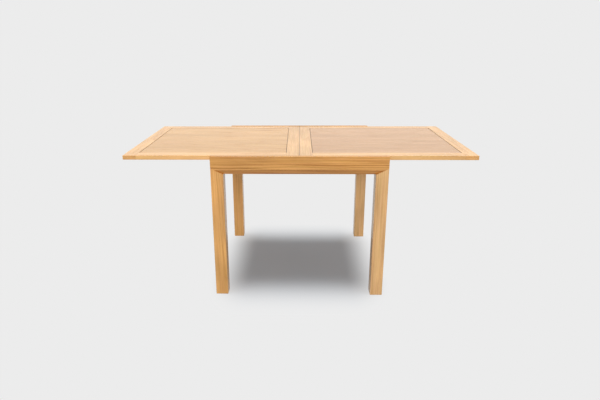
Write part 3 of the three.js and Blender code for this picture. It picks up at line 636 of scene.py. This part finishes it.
def cross_head_screw(head_radius, head_height, shank_radius, length):
    """A countersunk wood screw with a cross recess: the face of its head at 0, its point up Z."""
    mesh = bmesh.new()
    arm = 0.36 * head_radius
    bmesh.ops.create_grid(mesh, x_segments=3, y_segments=3, size=1.5 * arm)
    corners = [
        face for face in mesh.faces if min(map(abs, face.calc_center_median().xy)) > arm / 2
    ]
    bmesh.ops.delete(mesh, geom=corners, context="FACES")
    recess = mesh.faces[:]
    inner = [edge for edge in mesh.edges if edge.is_boundary]
    rim = bmesh.ops.create_circle(mesh, segments=24, radius=head_radius, cap_ends=False)["verts"]
    outer = list({edge for vert in rim for edge in vert.link_edges})
    bmesh.ops.bridge_loops(mesh, edges=inner + outer)
    # The recess narrows to its bottom.
    bottom = only(BMVert, bmesh.ops.extrude_face_region(mesh, geom=recess)["geom"])
    bmesh.ops.delete(mesh, geom=recess, context="FACES")
    bmesh.ops.scale(mesh, vec=(0.5, 0.5, 1), verts=bottom)
    bmesh.ops.translate(mesh, vec=(0, 0, 0.75 * head_height), verts=bottom)
    # Head, shank and point grow from the rim.
    point = 3 * MM
    edges = outer
    for radius, height in (
        (head_radius, 0.12 * head_height),
        (shank_radius, head_height),
        (shank_radius, length - point),
        (0.15 * shank_radius, length),
    ):
        grown = bmesh.ops.extrude_edge_only(mesh, edges=edges)["geom"]
        verts = only(BMVert, grown)
        edges = only(BMEdge, grown)
        reach = verts[0].co.xy.length
        bmesh.ops.scale(mesh, vec=(radius / reach, radius / reach, 1), verts=verts)
        bmesh.ops.translate(mesh, vec=(0, 0, height - verts[0].co.z), verts=verts)
    bmesh.ops.holes_fill(mesh, edges=edges, sides=0)
    bmesh.ops.recalc_face_normals(mesh, faces=mesh.faces)
    return mesh


def moulded_glide(radius, height):
    """A glide with a domed sole, a rounded rim, a dished middle, and the pin that holds it."""
    seat, pin = 2.3 * MM, 2 * MM
    profile = [
        (0, 0.5 * MM),
        (2.6 * MM, 0.5 * MM),
        (3.2 * MM, 0.1 * MM),
        (4.2 * MM, 0),
        (radius - 2.2 * MM, 0),
        (radius - 1.1 * MM, 0.16 * MM),
        (radius - 0.3 * MM, 0.7 * MM),
        (radius, 1.4 * MM),
        (radius, seat),
        (pin, seat),
        (pin, height - pin),
        (0, height),
    ]
    return spun(profile, 64)


def felt_strip(size):
    """A strip along Y with soft edges, which the pile makes uneven."""
    mesh = bmesh.new()
    bmesh.ops.create_cube(mesh, size=1, matrix=Matrix.Diagonal((*size, 1)))
    lengthwise = [edge for edge in mesh.edges if edge.calc_length() > size.y / 2]
    bmesh.ops.bevel(
        mesh,
        geom=lengthwise,
        offset=0.45 * MM,
        offset_type="OFFSET",
        affect="EDGES",
        segments=3,
        profile=0.5,
        material=-1,
    )
    lengths = 120
    for step in range(1, lengths):
        cut(mesh, (0, size.y * (step / lengths - 0.5), 0), (0, 1, 0), trim=False)
    # The pile is uneven by up to 0.12 mm.
    depth, hollows_per_metre = 0.12 * MM, 90
    for vert in mesh.verts:
        inwards = Vector((-vert.co.x, 0, -vert.co.z)).normalized()
        vert.co += inwards * abs(noise.noise(vert.co * hollows_per_metre)) * depth
    return mesh


# ---- Settings ----


def colour_property(name, description, hex_colour):
    return FloatVectorProperty(
        name=name,
        description=description,
        default=linear(hex_colour),
        subtype="COLOR",
        min=0,
        max=1,
    )


def length_property(name, description, default, low, high):
    """A length, with its default and its limits given in millimetres."""
    return FloatProperty(
        name=name,
        description=description,
        default=default * MM,
        min=low * MM,
        max=high * MM,
        unit="LENGTH",
    )


class FoldOverTimber(bpy.types.PropertyGroup):
    """Colours and figure of the timber."""

    frame_left: colour_property("Left leaf frame", "Stiles and rails of the left leaf", "#eabd86")
    frame_right: colour_property("Right leaf frame", "Those of the right leaf", "#e8bc86")
    panel_left: colour_property("Left panel", "Staves of the left leaf's panel", "#dbb079")
    panel_right: colour_property("Right panel", "Staves of the right leaf's panel", "#d0a77e")
    aprons: colour_property("Aprons", "The four aprons", "#d39c58")
    leg_left: colour_property("Left legs", "The two left legs", "#daa462")
    leg_right: colour_property("Right legs", "The two right legs", "#dcb07a")
    inner: colour_property("Inner timber", "Slide rails, runners and corner blocks", "#c69a6b")
    ring_width: length_property("Ring width", "Average width of a year ring", 3.6, 1, 9)
    stave_width: length_property("Stave width", "Average width of a panel's staves", 88, 40, 200)


class FoldOverFittings(bpy.types.PropertyGroup):
    """Colours and sizes of the fittings."""

    brass: colour_property("Brass", "Hinge straps and pins", "#b08a4e")
    steel: colour_property("Steel", "Bolts, nuts, washers and screws", "#c3c5c6")
    felt: colour_property("Felt", "Strips on the end aprons", "#6b5540")
    nylon: colour_property("Nylon", "Foot glides", "#d8d2c4")
    thread_pitch: length_property("Thread pitch", "Pitch of the leg bolts' thread", 1.25, 0.8, 2)
    nut_across_flats: length_property(
        "Nut across flats", "Width of the leg bolts' nuts over two flats", 13, 10, 15
    )


class FoldOverStage(bpy.types.PropertyGroup):
    """Camera, lamps and floor."""

    backdrop: colour_property("Backdrop", "Pale ground behind and under the table", "#ececec")
    floor: colour_property("Floor", "Floor that catches the shadow", "#dbe1e8")
    sky: FloatProperty(
        name="Sky", description="Strength of the even light from all round", default=0.52, min=0
    )
    overhead: FloatProperty(
        name="Overhead lamp", description="Strength of the soft overhead lamp", default=1.8, min=0
    )
    fill: FloatProperty(
        name="Front lamp", description="Power of the soft lamp in front", default=570, min=0
    )
    lens: FloatProperty(
        name="Lens", description="Focal length of the camera", default=30.497, unit="CAMERA"
    )


# ---- Pieces ----


def dress_in_oak(context, node_name, colour, **cut_and_figure):
    """Gives a board of the outside its own oak."""
    ring_width = context.scene.fold_over_timber.ring_width / MM
    dress(node_name, oak(node_name, colour, ring_width, **cut_and_figure))


class DressLegs(bpy.types.Operator):
    """Gives the four legs their oak"""

    bl_idname = "fold_over.legs"
    bl_label = "Legs"

    def execute(self, context):
        timber = context.scene.fold_over_timber
        for corner in CORNERS:
            colour = timber.leg_left if corner.endswith("left") else timber.leg_right
            dress_in_oak(context, f"leg_{corner}", colour)
        return {"FINISHED"}


class DressAprons(bpy.types.Operator):
    """Gives the four aprons their oak"""

    bl_idname = "fold_over.aprons"
    bl_label = "Aprons"

    def execute(self, context):
        colour = context.scene.fold_over_timber.aprons
        for place in (*ENDS, *SIDES):
            dress_in_oak(context, f"apron_{place}", colour, figure=1.8, patches=0.6)
        return {"FINISHED"}


class DressLeafFrames(bpy.types.Operator):
    """Gives the stiles and rails of both leaves their oak"""

    bl_idname = "fold_over.leaf_frames"
    bl_label = "Leaf frames"

    def execute(self, context):
        timber = context.scene.fold_over_timber
        for leaf, colour in (("sliding", timber.frame_left), ("folding", timber.frame_right)):
            for part in ("outer_stile", "inner_stile", "front_rail", "rear_rail"):
                dress_in_oak(context, f"{leaf}_leaf_{part}", colour, figure=0.9, patches=0.85)
        return {"FINISHED"}


class DressLeafPanels(bpy.types.Operator):
    """Gives the two panels their glued oak staves"""

    bl_idname = "fold_over.leaf_panels"
    bl_label = "Leaf panels"

    def execute(self, context):
        timber = context.scene.fold_over_timber
        figure = {"figure": 1.1, "patches": 0.3, "stave_width": timber.stave_width / MM}
        for leaf, colour in (("sliding", timber.panel_left), ("folding", timber.panel_right)):
            dress_in_oak(context, f"{leaf}_leaf_panel", colour, **figure)
        return {"FINISHED"}


class DressSlides(bpy.types.Operator):
    """Gives the slide rails and the runners their beech"""

    bl_idname = "fold_over.slides"
    bl_label = "Slide rails and runners"

    def execute(self, context):
        colour = context.scene.fold_over_timber.inner
        for end in ENDS:
            for node in (f"slide_rail_{end}", f"runner_{end}"):
                dress(node, beech(node, colour, "X"))
        return {"FINISHED"}


class DressCornerBlocks(bpy.types.Operator):
    """Gives the corner blocks their beech"""

    bl_idname = "fold_over.corner_blocks"
    bl_label = "Corner blocks"

    def execute(self, context):
        colour = context.scene.fold_over_timber.inner
        for corner in CORNERS:
            node = f"corner_block_{corner}"
            dress(node, beech(node, colour, "X" if corner.startswith("front") else "Y"))
        return {"FINISHED"}


class DressHinges(bpy.types.Operator):
    """Gives the hinge straps and pins their brass"""

    bl_idname = "fold_over.hinges"
    bl_label = "Hinges"

    def execute(self, context):
        brass = aged_brass("aged_rolled_brass", context.scene.fold_over_fittings.brass)
        for end in ENDS:
            for part in (f"strap_{end}_sliding", f"strap_{end}_folding", f"pin_{end}"):
                dress(f"hinge_{part}", brass)
        return {"FINISHED"}


class AddLegBolts(bpy.types.Operator):
    """Adds the threaded bolts of the legs with their washers and nuts"""

    bl_idname = "fold_over.leg_bolts"
    bl_label = "Leg bolts"

    def execute(self, context):
        fittings = context.scene.fold_over_fittings
        steel = zinc_plated_steel("zinc_plated_steel_bolt", fittings.steel)
        pitch = fittings.thread_pitch
        radius, end_radius, threaded, tail = 4 * MM, 3 * MM, 26 * MM, 4 * MM
        washer_radius, washer_thickness, clearance = 9 * MM, 1.6 * MM, 0.3 * MM
        nut_thickness = 6.5 * MM
        for corner in CORNERS:
            end, side = corner.split("_")
            node = f"leg_bolt_{corner}"
            low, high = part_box(node)
            inwards = Vector((-SIDES[side], -ENDS[end], 0)).normalized()
            # The bolt lies along the diagonal of its box, which its end faces reach.
            reach = (high - low).x / 2 * math.sqrt(2) - end_radius
            start = (low + high) / 2 - inwards * reach
            length = 2 * reach
            nut_face = length - tail - nut_thickness
            rod = threaded_rod(length, threaded, radius, pitch, radius - end_radius)
            washer = plain_washer(washer_radius, washer_thickness, radius + clearance)
            nut = hexagon_nut(fittings.nut_across_flats, nut_thickness, radius)
            for name, mesh, distance in (
                ("hanger_bolt", rod, 0),
                ("plain_washer", washer, nut_face - washer_thickness),
                ("hexagon_nut", nut, nut_face),
            ):
                place = along(start + inwards * distance, inwards)
                add_piece(f"{name}_{corner}", mesh, place, "base", steel, node)
        return {"FINISHED"}


class AddScrews(bpy.types.Operator):
    """Adds the countersunk screws of the slide rails and the runners"""

    bl_idname = "fold_over.screws"
    bl_label = "Rail and runner screws"

    def execute(self, context):
        colour = context.scene.fold_over_fittings.steel
        steel = zinc_plated_steel("zinc_plated_steel_screw", colour)
        head_height = 2.6 * MM
        for end in ENDS:
            for bar, body, direction in (
                ("slide_rail", "base", Vector((0, ENDS[end], 0))),
                ("runner", "sliding_leaf", Vector((0, 0, 1))),
            ):
                for number in (1, 2, 3):
                    node = f"{bar}_screw_{end}_{number}"
                    low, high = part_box(node)
                    middle, half = (low + high) / 2, (high - low) / 2
                    length = 2 * max(half)
                    mesh = cross_head_screw(min(half), head_height, min(half) / 2, length)
                    place = along(middle - direction * length / 2, direction)
                    name = f"cross_head_screw_{bar}_{end}_{number}"
                    add_piece(name, mesh, place, body, steel, node)
        return {"FINISHED"}


class AddFootGlides(bpy.types.Operator):
    """Adds the moulded glides under the legs"""

    bl_idname = "fold_over.foot_glides"
    bl_label = "Foot glides"

    def execute(self, context):
        nylon = moulded_nylon("moulded_nylon", context.scene.fold_over_fittings.nylon)
        for corner in CORNERS:
            node = f"foot_glide_{corner}"
            low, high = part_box(node)
            middle = (low + high) / 2
            mesh = moulded_glide((high.x - low.x) / 2, high.z - low.z)
            place = Matrix.Translation((middle.x, middle.y, low.z))
            add_piece(f"moulded_glide_{corner}", mesh, place, "base", nylon, node)
        return {"FINISHED"}


class AddFeltStrips(bpy.types.Operator):
    """Adds the felt strips on which the leaves slide"""

    bl_idname = "fold_over.felt_strips"
    bl_label = "Felt strips"

    def execute(self, context):
        felt = wool_felt("pressed_wool_felt", context.scene.fold_over_fittings.felt)
        for side in SIDES:
            node = f"felt_strip_{side}"
            low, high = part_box(node)
            mesh = felt_strip(high - low)
            place = Matrix.Translation((low + high) / 2)
            name = f"pressed_felt_{side}"
            add_piece(name, mesh, place, "base", felt, node, smooth_under=60)
        return {"FINISHED"}


# ---- Stage ----


def seen_directly(tree):
    """1 for what the camera sees straight, in a reflection or through glass, and 0 for light."""
    seen = 0.0
    for ray in ("Is Camera Ray", "Is Glossy Ray", "Is Transmission Ray"):
        kind = add(tree, "LightPath", socket=ray)
        seen = add(tree, "Math", {0: kind, 1: seen}, operation="MAXIMUM")
    return seen


def floor_paint(floor_colour, backdrop_colour):
    """Painted floor, matt and even. It shows the shadow of the base and fades into the backdrop
    round it, and it throws little light back up.
    """
    material, tree = new_material("matt_floor_paint")
    seen = seen_directly(tree)
    # How far from the middle the floor begins to fade, and over how far, along X and Y.
    whole, fading = (0.27, 0.25, 0), (0.25, 0.42, 1)
    place = add(tree, "TexCoord", socket="Object")
    apart = add(tree, "VectorMath", {0: place}, operation="ABSOLUTE")
    outside = add(tree, "VectorMath", {0: apart, 1: whole}, operation="SUBTRACT")
    outside = add(tree, "VectorMath", {0: outside, 1: (0, 0, 0)}, operation="MAXIMUM")
    outside = add(tree, "VectorMath", {0: outside, 1: fading}, operation="DIVIDE")
    distance = add(tree, "VectorMath", {0: outside}, socket="Value", operation="LENGTH")
    far = add(tree, "MapRange", {"Value": distance}, interpolation_type="SMOOTHSTEP")
    faded = add(tree, "Math", {0: far, 1: seen}, operation="MULTIPLY")
    dim, full = shaded(floor_colour, 0.28), shaded(floor_colour, 1)
    paint = add(tree, "Mix", {0: seen, 6: dim, 7: full}, socket=2, data_type="RGBA")
    lit = add(tree, "BsdfDiffuse", {"Color": paint, "Roughness": 0.0})
    plain = add(tree, "Emission", {"Color": shaded(backdrop_colour, 1), "Strength": 1.0})
    both = add(tree, "MixShader", {0: faded, 1: lit, 2: plain})
    add(tree, "OutputMaterial", {"Surface": both})
    return material


def studio(sky_strength, backdrop_colour):
    """A world whose sky lights the table evenly. The camera and reflections see the backdrop."""
    world = bpy.data.worlds.new("studio")
    world.use_nodes = True
    tree = world.node_tree
    tree.nodes.clear()
    sky = add(tree, "Background", {"Color": WHITE, "Strength": sky_strength})
    shown = add(tree, "Background", {"Color": shaded(backdrop_colour, 1), "Strength": 1.0})
    mixed = add(tree, "MixShader", {0: seen_directly(tree), 1: sky, 2: shown})
    add(tree, "OutputWorld", {"Surface": mixed})
    return world


def add_lamp(name, lamp, elevation, azimuth, distance):
    """Hangs a lamp so that it shines on the table top. Elevation and azimuth are in degrees, and
    azimuth is counted from the front towards the right.
    """
    holder = bpy.data.objects.new(name, lamp)
    turn = Euler((math.radians(90 - elevation), 0, math.radians(azimuth)))
    holder.rotation_euler = turn
    holder.location = Vector((0, 0, 0.7)) + turn.to_matrix() @ Vector((0, 0, distance))
    bpy.context.scene.collection.objects.link(holder)
    return holder


class SetStage(bpy.types.Operator):
    """Adds the floor, the lamps and the camera"""

    bl_idname = "fold_over.stage"
    bl_label = "Stage"

    def execute(self, context):
        scene = context.scene
        stage = scene.fold_over_stage

        mesh = bmesh.new()
        bmesh.ops.create_grid(mesh, x_segments=8, y_segments=8, size=40)
        data = bpy.data.meshes.new("studio_floor")
        mesh.to_mesh(data)
        data.materials.append(floor_paint(stage.floor, stage.backdrop))
        floor = bpy.data.objects.new("studio_floor", data)
        scene.collection.objects.link(floor)
        scene.world = studio(stage.sky, stage.backdrop)

        overhead = bpy.data.lights.new("overhead_lamp", "SUN")
        overhead.energy = stage.overhead
        overhead.angle = math.radians(36)
        add_lamp("overhead_lamp", overhead, 88, -20, 3)
        # The low lamps leave the floor out, so that the shadow stays under the table, and the
        # lacquer doesn't mirror them. The rear one only lifts the sides that face away.
        left_out = bpy.data.collections.new("left_out_by_low_lamps")
        left_out.objects.link(floor)
        left_out.collection_objects[0].light_linking.link_state = "EXCLUDE"
        elevation, distance = 13, 10
        for name, azimuth, share in (("front_lamp", 6, 1), ("rear_lamp", 170, 0.35)):
            softbox = bpy.data.lights.new(name, "AREA")
            softbox.energy = stage.fill * share
            softbox.shape = "DISK"
            softbox.size = 5.0
            lamp = add_lamp(name, softbox, elevation, azimuth, distance)
            lamp.visible_glossy = False
            lamp.light_linking.receiver_collection = left_out

        lens = bpy.data.cameras.new("camera")
        lens.lens = stage.lens
        lens.sensor_width = 36
        lens.shift_x = 0.024
        lens.clip_end = 200
        camera = bpy.data.objects.new("camera", lens)
        camera.location = (-0.0045, -2.9238, 1.3549)
        # It looks down by 18.2 degrees, a little to the left, and is held almost level.
        downwards, leftwards, tilt = 18.155, 1.509, -0.276
        aim = Euler((math.radians(90 - downwards), 0, math.radians(leftwards))).to_matrix()
        roll = Matrix.Rotation(math.radians(tilt), 3, "Z")
        camera.rotation_euler = (aim @ roll).to_euler()
        scene.collection.objects.link(camera)
        scene.camera = camera
        scene.view_settings.view_transform = "Standard"
        return {"FINISHED"}


# ---- Panel ----

PIECES = (
    DressLegs,
    DressAprons,
    DressLeafFrames,
    DressLeafPanels,
    DressSlides,
    DressCornerBlocks,
    DressHinges,
    AddLegBolts,
    AddScrews,
    AddFootGlides,
    AddFeltStrips,
)


class FoldOverPanel(bpy.types.Panel):
    """Lists the pieces of the table with their settings"""

    bl_idname = "VIEW3D_PT_fold_over"
    bl_label = "Fold-over Table"
    bl_space_type = "VIEW_3D"
    bl_region_type = "UI"
    bl_category = "Table"

    def draw(self, context):
        layout = self.layout
        for title, settings in (
            ("Timber", context.scene.fold_over_timber),
            ("Fittings", context.scene.fold_over_fittings),
            ("Stage", context.scene.fold_over_stage),
        ):
            box = layout.box()
            box.label(text=title)
            for name in settings.__annotations__:
                box.prop(settings, name)
        for operator in (*PIECES, SetStage):
            layout.operator(operator.bl_idname)


SETTINGS = {
    "fold_over_timber": FoldOverTimber,
    "fold_over_fittings": FoldOverFittings,
    "fold_over_stage": FoldOverStage,
}
CLASSES = (*SETTINGS.values(), *PIECES, SetStage, FoldOverPanel)


def register():
    for cls in CLASSES:
        bpy.utils.register_class(cls)
    for name, settings in SETTINGS.items():
        setattr(bpy.types.Scene, name, PointerProperty(type=settings))


def unregister():
    for name in SETTINGS:
        delattr(bpy.types.Scene, name)
    for cls in reversed(CLASSES):
        bpy.utils.unregister_class(cls)


def main():
    register()
    for operator in (*PIECES, SetStage):
        group, name = operator.bl_idname.split(".")
        getattr(getattr(bpy.ops, group), name)()


if __name__ == "__main__":
    main()
